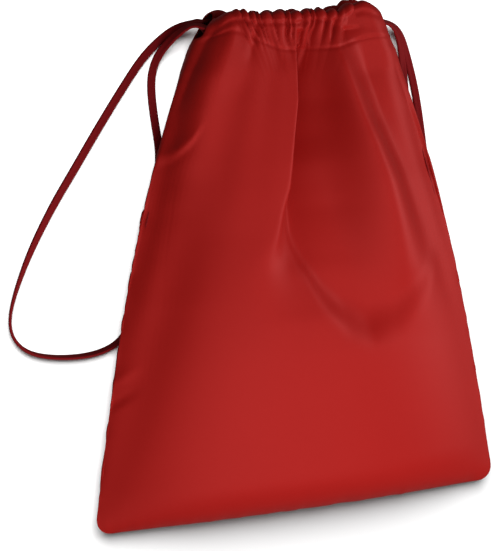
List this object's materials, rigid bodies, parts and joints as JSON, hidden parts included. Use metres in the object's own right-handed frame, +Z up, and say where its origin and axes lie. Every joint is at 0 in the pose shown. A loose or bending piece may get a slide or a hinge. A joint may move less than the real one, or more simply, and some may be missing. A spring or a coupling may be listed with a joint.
{
  "type": "drawstring pouch",
  "caption": "Soft flat satin pouch, wide at the bottom and gathered at the mouth by looped drawstrings in a casing, lying on its back.",
  "frame": {"origin": "on the surface that the back lies on, under the middle of the sewn pouch, drawstrings left out", "axes": "+X to the pouch's right seen from its front, +Y from the bottom seam towards the mouth, +Z up, out of the front face"},
  "size_m": [0.3413, 0.3438, 0.0452],
  "materials": {
    "outer_satin": "satin, soft sheen",
    "lining_cloth": "plain woven, dull",
    "drawstring_cloth": "flat woven strap, dull"
  },
  "bodies": {
    "root": {"outer_front_panel": "outer_satin", "outer_back_panel": "outer_satin", "lining_front_panel": "lining_cloth", "lining_back_panel": "lining_cloth", "left_drawstring": "drawstring_cloth", "right_drawstring": "drawstring_cloth"}
  },
  "joints": []
}
